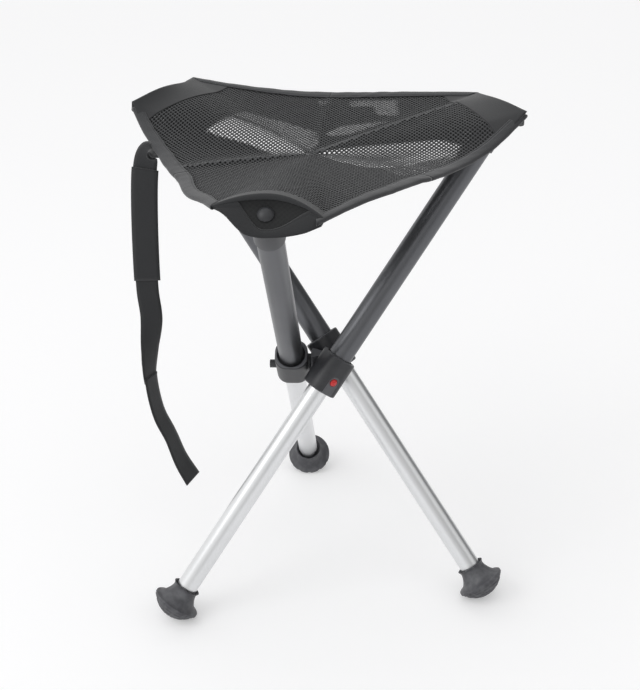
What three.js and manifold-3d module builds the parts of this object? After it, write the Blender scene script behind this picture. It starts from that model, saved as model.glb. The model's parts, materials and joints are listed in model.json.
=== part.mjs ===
// Collapsible telescopic stool: three skew legs on a three-way hinge hub, with a mesh sling seat.
// Millimetres, +Z up, the origin on the floor below the middle of the whole object.
import * as THREE from "three";
import { mergeVertices } from "three/addons/utils/BufferGeometryUtils.js";
import Module from "manifold-3d";

const wasm = await Module();
wasm.setup();

// Stance of the legs
const legTilt = THREE.MathUtils.degToRad(50.8);
const hingeOffset = 26.5;
const legs = [
  { side: "front", azimuth: -90 },
  { side: "right", azimuth: 30 },
  { side: "left", azimuth: 150 },
];

// Fits
const gap = 0.3;
const overrun = 1;
const roundSteps = 24;
const smallSteps = 12;

// Outer tube, measured along the leg from the hub, up positive
const upperOuter = 12.5;
const upperWall = 1.2;
const lockHole = 3.5;
const lockDrop = 5;

// Inner tube
const lowerWall = 1;
const lowerOverlap = 66;
const lowerEnd = 289.5;
const retraction = 200;

// Collar on the hub
const collarHalfLength = 20;
const collarHalfWidth = 17;
const collarHalfDepth = 16.5;
const collarCorner = 12.5;
const collarEdge = 1.4;
const mouthRadius = 14.8;
const mouthDepth = 3;
const lugRadius = 9;
const bushLength = 4;
const lipLength = 2;

// Hub core and hinge pins
const hubFace = 6.7;
const hubHeight = 22;
const hubCorner = 11.4;
const pinRadius = 3;
const pinHead = 4.6;
const pinHeadThick = 1.8;
const pinTip = 3.2;
const hubSides = 3;

// Release button
const buttonRadius = 4;
const buttonFlange = 4.6;
const buttonFlangeThick = 0.7;
const buttonStem = 2.7;
const buttonRise = 1.2;
const buttonLip = 0.7;
const buttonCrownShares = [[1, 0.5], [0.87, 0.88], [0, 1]];
const thumbDepth = 0.8;
const thumbWidth = 13;
const thumbAbove = 7;

// Snap clip inside the inner tube
const clipDome = 3.1;
const clipProud = 1.3;
const clipThick = 0.8;
const clipWidth = 7;
const clipLength = 34;
const clipCrownShares = [[1, 0], [0.71, 0.67], [0, 1]];

// Plug and cap at the top end
const capWall = 1.5;
const capSkirt = 34;
const capFace = 3;
const capFlange = 16.5;
const capFlangeLength = 8;
const plugLength = 40.4;
const stopSlack = 1;
const glideFlange = 3;
const glideLength = 12;

// Rivet that holds the corner of the seat
const rivetHead = 7.2;
const rivetRise = 3.6;
const rivetShank = 3;
const rivetLength = 18;
const rivetArcShares = [0, 0.25, 0.5, 0.75, 1];

// Foot
const footRim = 25;
const footDome = 28.3;
const footDomeEnd = 309;
const footRimThick = 1.6;
const footLip = 15;
const footLipThick = 1.2;
const footNeck = 12.9;
const footTop = 273;
const footWaist = 279;
const footBellShares = [0, 0.25, 0.5, 0.75, 1];
const groundFlat = 0.8;
const treadGroove = 0.9;
const treadRings = 9;
const treadGrooves = [4, 7];
const washerThick = 1.5;

// Seat
const meshThick = 1.6;
const cornerHalf = 47;
const cornerRise = 16;
const cornerHeight = 7.5;
const cornerSteps = 6;
const seatSag = 31.3;
const hemHollow = 5;
const rightDroop = 21;
const backDroop = 7.4;
const leftDroop = 24.6;
const hems = [
  { side: "right", droop: rightDroop, leanShare: 2 },
  { side: "back", droop: backDroop, leanShare: 1.43 },
  { side: "left", droop: leftDroop, leanShare: 0.78 },
];

// Spread, drop and reach of both wings of each corner, as shares of its half width
const wingShares = {
  front: { near: [0.98, 0.22, -0.05], far: [1.06, 0.47, -0.07] },
  right: { near: [1.06, 0.11, 0.01], far: [1, 0.27, 0.03] },
  left: { near: [1, 0.24, 0.11], far: [1.14, 0.3, 0.01] },
};

// Openings of the mesh, coarser than the real ones
const netAcross = 12;
const netOpenShare = 0.64;
const netReachShare = 0.89;

// Hems, and the patches on the corners
const hemWidth = 13;
const hemThick = 0.9;
const hemClear = 0.8;
const hemSteps = 12;
const hemEndShare = 0.018;
const patchThick = 1.5;
const patchReach = 30;
const flapDrop = 21;
const flapSide = 5;
const flapNearShare = 0.78;
const flapFarShare = 0.95;
const flapShares = [0.2, 0.4, 0.6, 0.8, 1];
const patchTopShares = [1, 0.66, 0.33, -0.1];
const patchColumnShares = [-1, -0.8, -0.5, -0.25, 0, 0.25, 0.5, 0.8, 1];

// Carrying strap
const strapWidth = 25;
const strapThick = 1.5;
const strapHemShare = 0.24;
const strapSpreadShare = 0.2;
const strapTuck = 16;
const strapLoop = 7;
const strapClear = 2.6;
const strapDrop = 386;
const strapRouteShares = [
  [0.009, 0.066],
  [0.019, 0.211],
  [0.025, 0.38],
  [0.019, 0.473],
  [0.029, 0.569],
  [0.037, 0.665],
  [0.033, 0.768],
  [0.006, 0.846],
  [-0.022, 0.929],
  [-0.059, 0.999],
];
const strapTurns = [0, 2, 8, 15, 30, 48, 55, 50, 45, 40];
const strapSteps = 46;
const fastenerSteps = 8;
const fastenerThick = 1.2;
const fastenerLength = 50;
const fastenerInset = 2.5;
const loopStartShare = 0.5;
const hookStartShare = 0.83;

// Sizes that follow from the ones above
const upperTop = lowerOverlap + glideFlange + retraction + stopSlack + plugLength + 2 * gap;
const upperBore = upperOuter - upperWall;
const lowerOuter = upperBore - gap;
const lowerBore = lowerOuter - lowerWall;
const collarBore = upperOuter + gap;
const lugEnd = hingeOffset - hubFace - gap;
const capTop = upperTop + capFace;
const thumbFloor = collarHalfWidth - thumbDepth;
const buttonSeat = thumbFloor - buttonLip;
const buttonTop = thumbFloor + buttonRise;
const stemTip = upperOuter + 2 * gap;
const footCentre = footDomeEnd - footDome;
const footRimPlace = footCentre + Math.sqrt(footDome ** 2 - footRim ** 2);
const socketBottom = lowerEnd + washerThick + 2 * gap;
const floorDrop = footCentre * Math.sin(legTilt) + footDome - groundFlat;
const patchPlane = capTop + gap + patchThick;
const ridgePlace = capTop + cornerHeight;
const seatHollow = ridgePlace * Math.sin(legTilt) + cornerRise * Math.cos(legTilt) - seatSag;

// Materials
function material(color, roughness, metalness) {
  return new THREE.MeshStandardMaterial({ color, roughness, metalness });
}

const charcoalTube = () => material(0x333436, 0.38, 0.6);
const silverTube = () => material(0xc9cacb, 0.32, 0.9);
const darkPlastic = () => material(0x3a3b3f, 0.55, 0);
const redPlastic = () => material(0xd92d2d, 0.4, 0);
const greyRubber = () => material(0x4c4c4f, 0.85, 0);
const zincSteel = () => material(0xa9abae, 0.35, 1);
const meshFabric = () => material(0x2f3032, 0.9, 0);
const wovenFabric = () => material(0x424345, 0.9, 0);

// Solids
function toSolid(geometry) {
  const bare = geometry.clone();
  bare.deleteAttribute("normal");
  bare.deleteAttribute("uv");
  const merged = mergeVertices(bare, 1e-5);
  const index = merged.index ? Array.from(merged.index.array) : [];
  const kept = [];
  for (let i = 0; i < index.length; i += 3) {
    const [a, b, c] = index.slice(i, i + 3);
    if (a !== b && b !== c && c !== a) {
      kept.push(a, b, c);
    }
  }
  const places = new Float32Array(merged.attributes.position.array);
  const mesh = new wasm.Mesh({
    numProp: 3,
    vertProperties: places,
    triVerts: new Uint32Array(kept),
  });
  return new wasm.Manifold(mesh);
}

function toGeometry(solid) {
  const { vertProperties, triVerts } = solid.getMesh();
  const geometry = new THREE.BufferGeometry();
  geometry.setAttribute("position", new THREE.BufferAttribute(vertProperties, 3));
  geometry.setIndex(new THREE.BufferAttribute(triVerts, 1));
  geometry.computeVertexNormals();
  return geometry;
}

function cut(geometry, ...tools) {
  return toGeometry(tools.reduce((left, tool) => left.subtract(toSolid(tool)), toSolid(geometry)));
}

function join(geometry, ...others) {
  return toGeometry(others.reduce((left, other) => left.add(toSolid(other)), toSolid(geometry)));
}

// A solid turned about the leg's axis, from points of radius and place along the leg
function turned(points, steps = roundSteps) {
  const outline = points.map(([radius, place]) => new THREE.Vector2(radius, place));
  return new THREE.LatheGeometry(outline, steps).rotateX(Math.PI / 2);
}

function rod(radius, low, high, steps = roundSteps) {
  return turned([[0, low], [radius, low], [radius, high], [0, high]], steps);
}

function ring(inner, outer, low, high, steps = roundSteps) {
  return turned([[outer, low], [outer, high], [inner, high], [inner, low], [outer, low]], steps);
}

// Turns a solid made along the leg so that it lies along the hinge axis
function sideways(geometry, place = 0) {
  return geometry.rotateY(Math.PI / 2).translate(0, 0, place);
}

function block(low, high) {
  const size = high.map((value, i) => value - low[i]);
  const middle = high.map((value, i) => (value + low[i]) / 2);
  return new THREE.BoxGeometry(...size).translate(...middle);
}

function roundedSquare(halfX, halfY, corner) {
  const shape = new THREE.Shape();
  const x = halfX - corner;
  const y = halfY - corner;
  shape.absarc(x, y, corner, 0, Math.PI / 2, false);
  shape.absarc(-x, y, corner, Math.PI / 2, Math.PI, false);
  shape.absarc(-x, -y, corner, Math.PI, 1.5 * Math.PI, false);
  shape.absarc(x, -y, corner, 1.5 * Math.PI, 2 * Math.PI, false);
  return shape;
}

// Turns an open sheet, given as rows of points, into a closed solid of even thickness
function thickened(rows, thickness, closedRound = false) {
  const width = rows[0].length;
  const places = rows.flat().flatMap((point) => point.toArray());
  const faces = [];
  const lastColumn = closedRound ? width : width - 1;
  for (let i = 0; i + 1 < rows.length; i += 1) {
    for (let j = 0; j < lastColumn; j += 1) {
      const next = (j + 1) % width;
      const a = i * width + j;
      const b = i * width + next;
      const c = (i + 1) * width + next;
      const d = (i + 1) * width + j;
      faces.push(a, b, c, a, c, d);
    }
  }
  const sheet = new THREE.BufferGeometry();
  sheet.setAttribute("position", new THREE.Float32BufferAttribute(places, 3));
  sheet.setIndex(faces);
  const merged = mergeVertices(sheet, 1e-5);
  const triangles = [];
  for (let i = 0; i < merged.index.count; i += 3) {
    const corner = [0, 1, 2].map((k) => merged.index.getX(i + k));
    if (new Set(corner).size === 3) {
      triangles.push(corner);
    }
  }
  merged.setIndex(triangles.flat());
  merged.computeVertexNormals();
  return closedSheet(merged, triangles, thickness);
}

function closedSheet(sheet, triangles, thickness) {
  const place = sheet.attributes.position;
  const normal = sheet.attributes.normal;
  const count = place.count;
  const places = [];
  for (const side of [1, -1]) {
    for (let i = 0; i < count; i += 1) {
      const point = new THREE.Vector3().fromBufferAttribute(place, i);
      const away = new THREE.Vector3().fromBufferAttribute(normal, i);
      places.push(...point.addScaledVector(away, (side * thickness) / 2).toArray());
    }
  }
  const faces = [];
  const edges = new Map();
  for (const [a, b, c] of triangles) {
    faces.push(a, b, c, a + count, c + count, b + count);
    for (const [from, to] of [[a, b], [b, c], [c, a]]) {
      if (!edges.delete(`${to} ${from}`)) {
        edges.set(`${from} ${to}`, [from, to]);
      }
    }
  }
  for (const [from, to] of edges.values()) {
    faces.push(to, from, from + count, to, from + count, to + count);
  }
  const solid = new THREE.BufferGeometry();
  solid.setAttribute("position", new THREE.Float32BufferAttribute(places, 3));
  solid.setIndex(faces);
  solid.computeVertexNormals();
  return solid;
}

// Hub core: a three-sided block with a blind bore in each face for a hinge pin
function hubCore() {
  const edge = hubFace / Math.cos(Math.PI / hubSides);
  let solid = new THREE.CylinderGeometry(edge, edge, hubHeight, hubSides).rotateX(Math.PI / 2);
  solid.rotateZ(Math.PI / 2);
  const rim = new THREE.CylinderGeometry(hubCorner, hubCorner, hubHeight + overrun, roundSteps);
  solid = toGeometry(toSolid(solid).intersect(toSolid(rim.rotateX(Math.PI / 2))));
  const bores = legs.map(({ azimuth }) => {
    const bore = rod(pinRadius + gap, pinTip - gap, hubFace + overrun, smallSteps);
    return sideways(bore).rotateZ(THREE.MathUtils.degToRad(azimuth - 90));
  });
  return cut(solid, ...bores);
}

// Hinge pin: its head sits inside the collar wall and its shank reaches into the hub core
function hingePin() {
  const headFace = collarBore + gap;
  const headBack = headFace + pinHeadThick;
  const profile = [
    [0, -(hingeOffset - pinTip)],
    [pinRadius, -(hingeOffset - pinTip)],
    [pinRadius, -headBack],
    [pinHead, -headBack],
    [pinHead, -headFace],
    [0, -headFace],
  ];
  return sideways(turned(profile, smallSteps));
}

function hubCollar() {
  const depth = 2 * (collarHalfLength - collarEdge);
  let solid = new THREE.ExtrudeGeometry(
    roundedSquare(collarHalfWidth - collarEdge, collarHalfDepth - collarEdge, collarCorner - collarEdge),
    {
      depth,
      bevelEnabled: true,
      bevelThickness: collarEdge,
      bevelSize: collarEdge,
      bevelSegments: 1,
      curveSegments: roundSteps / 6,
    },
  ).translate(0, 0, -depth / 2);
  solid = join(solid, sideways(rod(lugRadius, -lugEnd, -collarBore)));
  const pinHole = sideways(rod(pinRadius + gap, -lugEnd - overrun, -upperBore, smallSteps));
  const headRoom = collarBore + pinHeadThick + 2 * gap;
  const pinRecess = sideways(rod(pinHead + gap, -headRoom, -upperBore, smallSteps));
  const bore = rod(collarBore, lipLength - collarHalfLength, collarHalfLength + overrun);
  const lip = rod(lowerOuter + 2 * gap, -collarHalfLength - overrun, 0);
  const mouth = rod(mouthRadius, collarHalfLength - mouthDepth, collarHalfLength + overrun);
  const hole = sideways(rod(buttonRadius + gap, upperBore, collarHalfWidth + overrun, smallSteps), -lockDrop);
  const flangeRoom = sideways(rod(buttonFlange + gap, upperBore, buttonSeat, smallSteps), -lockDrop);
  const thumbRound = sideways(
    rod(thumbWidth / 2, thumbFloor, collarHalfWidth + overrun, smallSteps),
    thumbAbove - lockDrop - thumbWidth / 2,
  );
  const thumbSlot = block(
    [thumbFloor, -thumbWidth / 2, -collarHalfLength - overrun],
    [collarHalfWidth + overrun, thumbWidth / 2, thumbAbove - lockDrop - thumbWidth / 2],
  );
  return cut(solid, bore, lip, mouth, pinHole, pinRecess, hole, flangeRoom, thumbRound, thumbSlot);
}

function guideBush() {
  const low = lipLength - collarHalfLength + gap;
  return ring(lowerOuter + gap, upperOuter, low, low + bushLength);
}

function releaseButton() {
  const flangeTop = buttonSeat - gap;
  const profile = [
    [0, stemTip],
    [buttonStem, stemTip],
    [buttonStem, flangeTop - buttonFlangeThick],
    [buttonFlange, flangeTop - buttonFlangeThick],
    [buttonFlange, flangeTop],
    [buttonRadius, flangeTop],
    ...buttonCrownShares.map(([out, up]) => [buttonRadius * out, thumbFloor + buttonRise * up]),
  ];
  return sideways(turned(profile, smallSteps), -lockDrop);
}

function upperTube() {
  const low = lipLength - collarHalfLength + bushLength + 2 * gap;
  const hole = sideways(rod(lockHole, 0, upperOuter + overrun, smallSteps), -lockDrop);
  const tube = ring(upperBore, upperOuter, low, upperTop);
  return cut(tube, hole, sideways(rod(pinHead, -upperOuter - overrun, -upperOuter - gap / 2, smallSteps)));
}

function lowerTube() {
  const hole = sideways(rod(lockHole, 0, lowerOuter + overrun, smallSteps), -lockDrop);
  return cut(ring(lowerBore, lowerOuter, -lowerEnd, lowerOverlap), hole);
}

// Plastic plug on the inner tube's top end that runs in the outer tube
function tubeGlide() {
  const low = lowerOverlap - glideLength;
  const seat = lowerOverlap + gap;
  return turned([
    [0, low],
    [lowerBore - gap, low],
    [lowerBore - gap, seat],
    [lowerOuter, seat],
    [lowerOuter, seat + glideFlange],
    [0, seat + glideFlange],
  ]);
}

// Bent leaf that pushes a small dome out through both tubes
function snapClip() {
  const outer = lowerBore - gap;
  const leaf = block(
    [outer - clipThick - clipProud, -clipWidth / 2, -lockDrop - clipLength / 2],
    [outer - clipProud, clipWidth / 2, -lockDrop + clipLength / 2],
  );
  const back = block(
    [clipWidth / 2 - outer, -clipWidth / 2, -lockDrop - clipLength / 2],
    [clipWidth / 2 - outer + clipThick, clipWidth / 2, -lockDrop + clipLength / 2],
  );
  const bend = block(
    [clipWidth / 2 - outer, -clipWidth / 2, -lockDrop - clipLength / 2],
    [outer - clipProud, clipWidth / 2, -lockDrop - clipLength / 2 + clipThick],
  );
  const tip = upperOuter - gap;
  const start = outer - clipThick - clipProud;
  const dome = turned([
    [0, start],
    [clipDome, start],
    ...clipCrownShares.map(([out, up]) => [clipDome * out, tip - clipProud * (1 - up)]),
  ], smallSteps);
  return join(leaf, back, bend, sideways(dome, -lockDrop));
}

function tubePlug() {
  const high = upperTop - gap;
  const hole = rod(rivetShank + gap, capTop - rivetLength - gap, upperTop + overrun, smallSteps);
  return cut(rod(lowerOuter, high - plugLength, high), hole);
}

function endCap() {
  const inner = upperOuter + gap;
  const outer = inner + capWall;
  const low = upperTop - capSkirt;
  const flangeLow = capTop - capFlangeLength;
  return turned([
    [outer, low],
    [outer, flangeLow],
    [capFlange, flangeLow + capFace],
    [capFlange, capTop - capWall],
    [capFlange - capWall, capTop],
    [rivetShank + gap, capTop],
    [rivetShank + gap, upperTop + gap],
    [inner, upperTop + gap],
    [inner, low],
    [outer, low],
  ]);
}

function seatRivet() {
  const under = patchPlane + patchThick / 2 + gap;
  const dome = (rivetHead ** 2 + rivetRise ** 2) / (2 * rivetRise);
  const arc = rivetArcShares.map((share) => {
    const radius = rivetHead * Math.cos((share * Math.PI) / 2);
    return [radius, under + gap + rivetRise - dome + Math.sqrt(dome ** 2 - radius ** 2)];
  });
  arc[arc.length - 1][0] = 0;
  return turned([
    [0, capTop - rivetLength],
    [rivetShank, capTop - rivetLength],
    [rivetShank, under],
    [rivetHead, under],
    ...arc,
  ], smallSteps);
}

function foot() {
  const bell = footBellShares.map((share) => {
    const turn = (share * Math.PI) / 2;
    const radius = footRim - (footRim - footNeck) * Math.cos(turn);
    return [radius, -footWaist - (footRimPlace - footRimThick - footWaist) * Math.sin(turn)];
  });
  const domeAngle = Math.asin(footRim / footDome);
  const dome = [];
  for (let i = 0; i <= treadRings; i += 1) {
    const turn = (domeAngle * i) / treadRings;
    const reach = treadGrooves.includes(i) ? footDome - treadGroove : footDome;
    dome.push([reach * Math.sin(turn), -footCentre - reach * Math.cos(turn)]);
  }
  dome[0][0] = 0;
  const outline = [
    ...dome,
    ...bell.reverse(),
    [footLip, -footTop - footLipThick],
    [footLip, -footTop],
    [lowerOuter + gap, -footTop],
    [lowerOuter + gap, -socketBottom],
    [0, -socketBottom],
  ];
  const ground = block(
    [-2 * footRim, -2 * footRim, -footRim],
    [2 * footRim, 2 * footRim, 0],
  );
  const along = footCentre * Math.cos(legTilt);
  ground.translate(0, -along, -floorDrop).rotateX(Math.PI / 2 - legTilt);
  return cut(turned(outline), ground);
}

function footWasher() {
  return rod(lowerOuter, -lowerEnd - gap - washerThick, -lowerEnd - gap);
}

// Frame of a leg: x along its hinge axis away from the hub, z up along the leg
function legFrame(azimuth) {
  const sector = new THREE.Group();
  sector.rotation.z = THREE.MathUtils.degToRad(azimuth - 90);
  const frame = new THREE.Group();
  frame.position.x = hingeOffset;
  frame.rotation.x = legTilt - Math.PI / 2;
  sector.add(frame);
  sector.updateMatrixWorld(true);
  return { sector, frame };
}

const frames = legs.map(({ azimuth }) => legFrame(azimuth));

// Edge of the seat: over each leg end a corner, between them three hems that droop
function ridgePoint(leg, share) {
  const wings = wingShares[legs[leg].side];
  const [spread, drop, reach] = share > 0 ? wings.near : wings.far;
  return new THREE.Vector3(
    cornerHalf * spread * share,
    cornerHalf * drop * share ** 2 - cornerRise,
    ridgePlace + cornerHalf * reach * share ** 2,
  );
}

function cornerPoint(leg, share) {
  return ridgePoint(leg, share).applyMatrix4(frames[leg].frame.matrixWorld);
}

function hemPoint(hem, share) {
  const { droop, leanShare } = hems[hem];
  const from = cornerPoint(hem, -1);
  const to = cornerPoint((hem + 1) % legs.length, 1);
  const point = from.lerp(to, share);
  const bulge = Math.sin(Math.PI * share ** leanShare);
  const away = new THREE.Vector3(point.x, point.y, 0).normalize();
  point.addScaledVector(away, -hemHollow * bulge);
  point.z -= droop * bulge;
  return point;
}

function seatPoint(edge, share) {
  const centre = new THREE.Vector3(0, 0, seatHollow);
  return centre.lerp(edge, share);
}

// Stations along a hem, which the edge of the mesh and the binding share
const hemStations = Array.from({ length: hemSteps + 1 }, (unused, i) => (
  THREE.MathUtils.lerp(hemEndShare, 1 - hemEndShare, i / hemSteps)
));

function seatEdge() {
  const edge = [];
  for (let i = 0; i < legs.length; i += 1) {
    for (let k = 0; k <= cornerSteps; k += 1) {
      edge.push(cornerPoint(i, 1 - (2 * k) / cornerSteps));
    }
    edge.push(...hemStations.map((station) => hemPoint(i, station)));
  }
  return edge;
}

// True where a place in plan lies inside the seat's edge, drawn in by a share
function insideSeat(edge, share, x, y) {
  let inside = false;
  edge.forEach((end, i) => {
    const [a, b] = [edge.at(i - 1), end].map((point) => seatPoint(point, share));
    const crossing = a.x + ((y - a.y) * (b.x - a.x)) / (b.y - a.y);
    if (a.y > y !== b.y > y && x < crossing) {
      inside = !inside;
    }
  });
  return inside;
}

function seatMesh() {
  const edge = seatEdge();
  const centre = edge.map(() => seatPoint(edge[0], 0));
  const sheet = thickened([centre, edge], meshThick, true);
  const box = new THREE.Box3().setFromPoints(edge);
  const pitch = (box.max.x - box.min.x) / netAcross;
  const half = (pitch * netOpenShare) / 2;
  const holes = [];
  for (let x = box.min.x + pitch / 2; x < box.max.x; x += pitch) {
    for (let y = box.min.y + pitch / 2; y < box.max.y; y += pitch) {
      const corners = [[-half, -half], [half, -half], [half, half], [-half, half]];
      if (corners.every(([right, back]) => insideSeat(edge, netReachShare, x + right, y + back))) {
        holes.push(block([x - half, y - half, box.min.z - seatSag], [x + half, y + half, box.max.z]));
      }
    }
  }
  return cut(sheet, ...holes);
}

// Binding folded round the hem: over the mesh, round its edge and back under it
function hemBinding(hem) {
  const clear = (meshThick + hemThick) / 2 + hemClear;
  const run = (inward, side) => hemStations.map((station) => {
    const edge = hemPoint(hem, station);
    const reach = Math.hypot(edge.x, edge.y);
    const point = seatPoint(edge, 1 - inward / reach);
    point.z += side * clear;
    return point;
  });
  const turn = -hemThick - gap;
  const over = [run(hemWidth, 1), run(hemWidth / 2, 1), run(turn, 1)];
  const under = [run(turn, -1), run(hemWidth / 2, -1), run(hemWidth, -1)];
  return thickened([...over, ...under], hemThick);
}

// Patch on a seat corner: on top of the mesh, over the leg end and down its face
function cornerPatch(leg) {
  const lift = meshThick / 2 + gap + patchThick;
  const rows = [];
  for (const back of patchTopShares) {
    rows.push(patchColumnShares.map((share) => {
      const edge = cornerPoint(leg, share);
      const point = seatPoint(edge, 1 - (back * patchReach) / Math.hypot(edge.x, edge.y));
      point.z += lift;
      return point;
    }));
  }
  const toLeg = frames[leg].frame.matrixWorld;
  for (const down of flapShares) {
    rows.push(patchColumnShares.map((share) => {
      const point = ridgePoint(leg, share);
      const taper = share > 0 ? flapNearShare : flapFarShare;
      point.x *= THREE.MathUtils.lerp(1, taper, down);
      point.y += (flapSide + (flapDrop - flapSide + cornerRise) * (1 - share ** 2)) * down;
      point.z = THREE.MathUtils.lerp(patchPlane, point.z, share ** 2);
      return point.applyMatrix4(toLeg);
    }));
  }
  const hole = rod(rivetShank + gap, upperTop, capTop + rivetLength, smallSteps).applyMatrix4(toLeg);
  return cut(thickened(rows, patchThick), hole);
}

// Way of the strap: sewn flat under the left hem, out past its edge, then down
function strapWay() {
  const edge = hemPoint(hems.length - 1, strapHemShare);
  const start = seatPoint(edge, 1 - strapTuck / Math.hypot(edge.x, edge.y));
  const loop = seatPoint(edge, 1 + strapLoop / Math.hypot(edge.x, edge.y));
  const before = hemPoint(hems.length - 1, strapHemShare * (1 - strapSpreadShare));
  const along = hemPoint(hems.length - 1, strapHemShare * (1 + strapSpreadShare)).sub(before).normalize();
  const down = start.clone().sub(edge).cross(along).normalize();
  down.multiplyScalar(-Math.sign(down.z));
  const under = (meshThick + strapThick) / 2 + hemThick + strapClear;
  for (const point of [start, edge, loop]) {
    point.addScaledVector(down, under);
  }
  loop.z -= strapLoop;
  const hanging = strapRouteShares.map(([out, down]) => (
    new THREE.Vector3(loop.x - out * strapDrop, loop.y, loop.z - down * strapDrop)
  ));
  const sewn = [start, edge, loop];
  return {
    curve: new THREE.CatmullRomCurve3([...sewn, ...hanging]),
    turns: [...sewn.map(() => 0), ...strapTurns],
    along,
    sewn: sewn.length,
  };
}

// Rows along both edges and the middle of the strap, which twists as it hangs
function strapRows(first, last, steps, width, lift) {
  const { curve, turns, along, sewn } = strapWay();
  const rows = [[], [], []];
  for (let i = 0; i <= steps; i += 1) {
    const share = first + ((last - first) * i) / steps;
    const place = share * (turns.length - 1);
    const low = Math.min(Math.floor(place), turns.length - 2);
    const turn = THREE.MathUtils.lerp(turns[low], turns[low + 1], place - low);
    const point = curve.getPoint(share);
    const way = curve.getTangent(share);
    const flat = along.clone().lerp(new THREE.Vector3(1, 0, 0), THREE.MathUtils.smoothstep(place, 1, sewn));
    flat.addScaledVector(way, -flat.dot(way)).normalize();
    flat.applyAxisAngle(way, THREE.MathUtils.degToRad(turn));
    const away = new THREE.Vector3().crossVectors(way, flat);
    [-1, 0, 1].forEach((side, k) => {
      const shifted = point.clone().addScaledVector(flat, (side * width) / 2);
      rows[k].push(shifted.addScaledVector(away, lift));
    });
  }
  return rows;
}

function strapFastener(start) {
  const lift = (strapThick + fastenerThick) / 2 + gap;
  const length = strapWay().curve.getLength();
  const width = strapWidth - 2 * fastenerInset;
  const rows = strapRows(start, start + fastenerLength / length, fastenerSteps, width, lift);
  return thickened(rows, fastenerThick);
}

// The whole stool
const stool = new THREE.Group();
const hub = new THREE.Group();
hub.position.z = floorDrop;
stool.add(hub);

function place(parent, name, geometry, finish) {
  const mesh = new THREE.Mesh(geometry, finish);
  mesh.name = name;
  parent.add(mesh);
}

place(hub, "hub_core", hubCore(), darkPlastic());
legs.forEach(({ side }, i) => {
  const { sector, frame } = frames[i];
  hub.add(sector);
  place(frame, `hinge_pin_${side}`, hingePin(), zincSteel());
  place(frame, `hub_collar_${side}`, hubCollar(), darkPlastic());
  place(frame, `guide_bush_${side}`, guideBush(), darkPlastic());
  place(frame, `release_button_${side}`, releaseButton(), redPlastic());
  place(frame, `upper_tube_${side}`, upperTube(), charcoalTube());
  place(frame, `tube_plug_${side}`, tubePlug(), darkPlastic());
  place(frame, `end_cap_${side}`, endCap(), darkPlastic());
  place(frame, `seat_rivet_${side}`, seatRivet(), darkPlastic());
  place(frame, `lower_tube_${side}`, lowerTube(), silverTube());
  place(frame, `tube_glide_${side}`, tubeGlide(), darkPlastic());
  place(frame, `snap_clip_${side}`, snapClip(), zincSteel());
  place(frame, `foot_washer_${side}`, footWasher(), zincSteel());
  place(frame, `foot_${side}`, foot(), greyRubber());
  place(hub, `corner_patch_${side}`, cornerPatch(i), wovenFabric());
});
place(hub, "seat_mesh", seatMesh(), meshFabric());
hems.forEach(({ side }, i) => {
  place(hub, `hem_binding_${side}`, hemBinding(i), wovenFabric());
});
place(hub, "carry_strap", thickened(strapRows(0, 1, strapSteps, strapWidth, 0), strapThick), wovenFabric());
place(hub, "strap_loop_pad", strapFastener(loopStartShare), wovenFabric());
place(hub, "strap_hook_pad", strapFastener(hookStartShare), wovenFabric());

// The origin goes to the middle of the stool's box, on the floor
const reach = new THREE.Box3().setFromObject(stool, true);
const middle = reach.getCenter(new THREE.Vector3());
hub.position.x -= middle.x;
hub.position.y -= middle.y;

export default stool;
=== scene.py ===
import bisect
import json
import math

import bmesh
import bpy
from mathutils import Matrix, Vector, noise


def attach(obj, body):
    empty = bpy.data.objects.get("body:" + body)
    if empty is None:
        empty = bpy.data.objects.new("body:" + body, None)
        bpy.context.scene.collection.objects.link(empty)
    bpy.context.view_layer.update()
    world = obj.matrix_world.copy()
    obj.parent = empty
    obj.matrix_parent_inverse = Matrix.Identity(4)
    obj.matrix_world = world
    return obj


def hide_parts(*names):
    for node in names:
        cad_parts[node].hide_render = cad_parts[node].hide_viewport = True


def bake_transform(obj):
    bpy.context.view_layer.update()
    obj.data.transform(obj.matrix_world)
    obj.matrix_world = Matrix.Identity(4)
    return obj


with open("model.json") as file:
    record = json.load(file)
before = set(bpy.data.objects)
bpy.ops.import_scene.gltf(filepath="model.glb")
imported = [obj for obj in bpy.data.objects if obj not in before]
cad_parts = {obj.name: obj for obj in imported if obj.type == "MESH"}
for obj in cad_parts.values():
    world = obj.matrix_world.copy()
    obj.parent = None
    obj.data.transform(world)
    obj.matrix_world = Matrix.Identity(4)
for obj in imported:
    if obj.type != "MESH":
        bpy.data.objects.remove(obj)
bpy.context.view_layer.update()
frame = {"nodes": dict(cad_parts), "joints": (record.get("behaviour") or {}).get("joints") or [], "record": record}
mm = 0.001

sides = ["front", "right", "left"]
joints = {joint["name"]: joint for joint in frame["joints"]}


def legMatrix(side):  # x along the hinge axis, z up along the leg
    fold = joints["fold_" + side]
    x = Vector(fold["axis"]).normalized()
    z = Vector(joints["telescope_" + side]["axis"]).normalized()
    y = z.cross(x)
    turn = Matrix((x, y, z)).transposed().to_4x4()
    return Matrix.Translation(Vector(fold["pos_m"])) @ turn


legFrame = {side: legMatrix(side) for side in sides}
hubCentre = sum((Vector(joints["fold_" + side]["pos_m"]) for side in sides), Vector()) / 3
print("frame loaded")


# Materials

def hexColour(code):  # sRGB hex to linear
    parts = [int(code[i:i + 2], 16) / 255 for i in (1, 3, 5)]
    return [p / 12.92 if p <= 0.04045 else ((p + 0.055) / 1.055) ** 2.4 for p in parts] + [1]


def newMaterial(name, colour, roughness, **sockets):
    made = bpy.data.materials.new(name)
    made.use_nodes = True
    shader = made.node_tree.nodes["Principled BSDF"]
    shader.inputs["Base Color"].default_value = hexColour(colour)
    shader.inputs["Roughness"].default_value = roughness
    for socket, value in sockets.items():
        shader.inputs[socket.replace("_", " ")].default_value = value
    return made


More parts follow.
